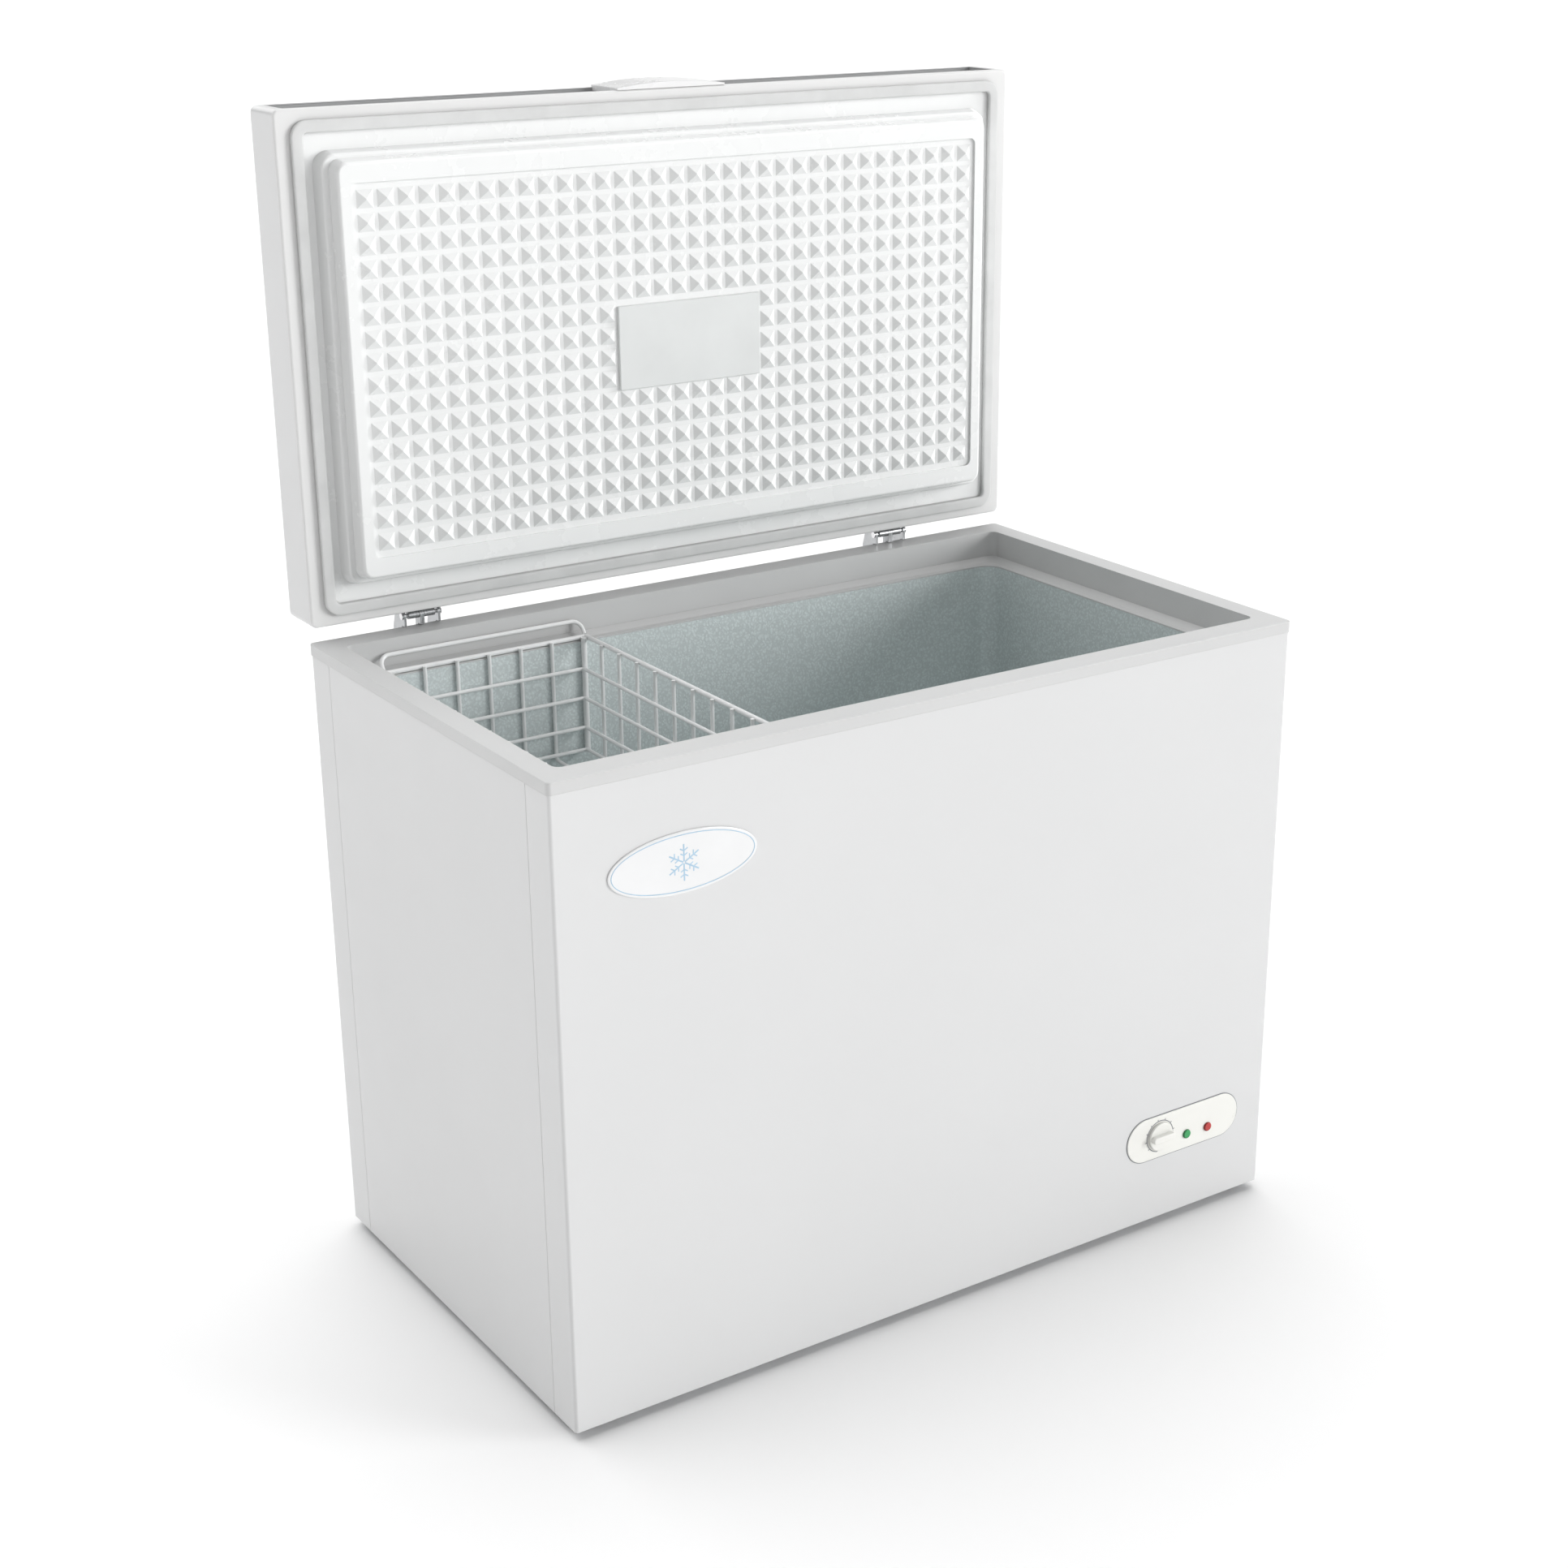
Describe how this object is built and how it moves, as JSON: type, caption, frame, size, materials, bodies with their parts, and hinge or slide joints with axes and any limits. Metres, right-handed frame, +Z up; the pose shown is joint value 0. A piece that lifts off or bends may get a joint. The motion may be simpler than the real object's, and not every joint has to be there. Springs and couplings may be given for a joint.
{
  "type": "chest freezer",
  "caption": "Chest freezer with an upright hinged lid, hanging wire basket, front thermostat dial and a compressor bay under the stepped food compartment.",
  "frame": {"origin": "on the floor under the middle of the outline of the open freezer", "axes": "+Z up, +Y to the back where the lid hinges, +X to the right seen from the front; the lid is drawn open"},
  "size_m": [1.0328, 0.668, 1.4137],
  "materials": {
    "white_enamel": "satin baked white enamel on sheet steel",
    "galvanised_sheet": "bare zinc-coated sheet",
    "foam": "rigid closed-cell foam",
    "embossed_aluminium": "stucco-embossed sheet",
    "rim_plastic": "moulded off-white plastic",
    "lid_plastic": "vacuum-formed glossy white plastic",
    "gasket_vinyl": "soft light-grey vinyl",
    "grey_trim": "matt grey plastic extrusion",
    "handle_plastic": "bright white moulded plastic",
    "label_plastic": "plain pale grey plate",
    "foot_rubber": "black rubber",
    "screw_steel": "zinc-plated screws",
    "copper_tube": "drawn copper tube",
    "black_steel": "black enamel on pressed steel",
    "grommet_rubber": "black rubber",
    "black_plastic": "black moulded plastic",
    "grey_plastic": "grey moulded plastic",
    "white_plastic": "white moulded plastic",
    "panel_plastic": "warm off-white moulded plastic",
    "dial_print": "grey raised print",
    "green_lens": "translucent green plastic",
    "red_lens": "translucent red plastic",
    "lamp_glass": "clear glass bulb",
    "badge_plastic": "silvery plastic with a plain raised border",
    "bracket_steel": "nickel-plated steel",
    "pin_chrome": "polished steel",
    "spring_steel": "oiled spring steel",
    "basket_wire": "white plastic-coated steel wire"
  },
  "bodies": {
    "cabinet": {"front_panel": "white_enamel", "left_side_panel": "white_enamel", "right_side_panel": "white_enamel", "back_panel": "white_enamel", "base_pan": "galvanised_sheet", "foam_insulation": "foam", "inner_liner": "embossed_aluminium", "top_rim_frame": "rim_plastic", "rim_ledge": "rim_plastic", "feet": "foot_rubber", "foot_screws": "screw_steel", "evaporator_coil": "copper_tube", "condenser_coil": "copper_tube", "compressor": "black_steel", "compressor_tray": "galvanised_sheet", "compressor_grommets": "grommet_rubber", "compressor_bolts": "screw_steel", "start_relay_cover": "black_plastic", "filter_drier": "copper_tube", "suction_line": "copper_tube", "discharge_line": "copper_tube", "capillary_tube": "copper_tube", "rear_access_cover": "white_enamel", "rear_cover_screws": "screw_steel", "side_vent_grille": "white_plastic", "thermostat": "grey_plastic", "thermostat_sensor_tube": "copper_tube", "control_panel_bezel": "panel_plastic", "dial_scale": "dial_print", "indicator_lens_green": "green_lens", "indicator_lens_red": "red_lens", "indicator_lamps": "lamp_glass", "wiring_harness": "black_plastic", "terminal_box": "grey_plastic", "power_inlet_gland": "black_plastic", "badge_plate": "badge_plastic", "drain_tube": "white_plastic", "drain_cap": "white_plastic", "hinge_cabinet_brackets": "bracket_steel", "hinge_pins": "pin_chrome", "hinge_guide_rods": "screw_steel", "hinge_springs": "spring_steel", "hinge_bracket_screws": "screw_steel"},
    "lid": {"lid_outer_shell": "white_enamel", "lid_front_trim": "grey_trim", "lid_inner_frame": "rim_plastic", "lid_liner": "lid_plastic", "lid_foam": "foam", "lid_gasket": "gasket_vinyl", "lid_handle": "handle_plastic", "lid_handle_screws": "screw_steel", "lid_label_plate": "label_plastic", "hinge_lid_leaves": "bracket_steel", "hinge_lid_screws": "screw_steel"},
    "basket": {"basket_top_frame": "basket_wire", "basket_rings": "basket_wire", "basket_cross_wires": "basket_wire", "basket_long_wires": "basket_wire"},
    "thermostat_knob": {"thermostat_knob": "panel_plastic"},
    "drain_plug": {"drain_plug": "white_plastic"}
  },
  "joints": [
    {"name": "lid_hinge", "type": "hinge", "parent": "cabinet", "child": "lid", "pos_m": [0, 0.2736, 0.8006], "axis": [1, 0, 0], "range_deg": [0, 90]},
    {"name": "basket_slide", "type": "slide", "parent": "cabinet", "child": "basket", "axis": [1, 0, 0], "range_m": [0, 0.62]},
    {"name": "thermostat_knob_turn", "type": "hinge", "parent": "cabinet", "child": "thermostat_knob", "pos_m": [0.338, -0.3215, 0.1304], "axis": [0, 1, 0], "range_deg": [-40, 200]},
    {"name": "drain_plug_lift", "type": "slide", "parent": "cabinet", "child": "drain_plug", "axis": [0, 0, 1], "range_m": [0, 0.04]}
  ]
}
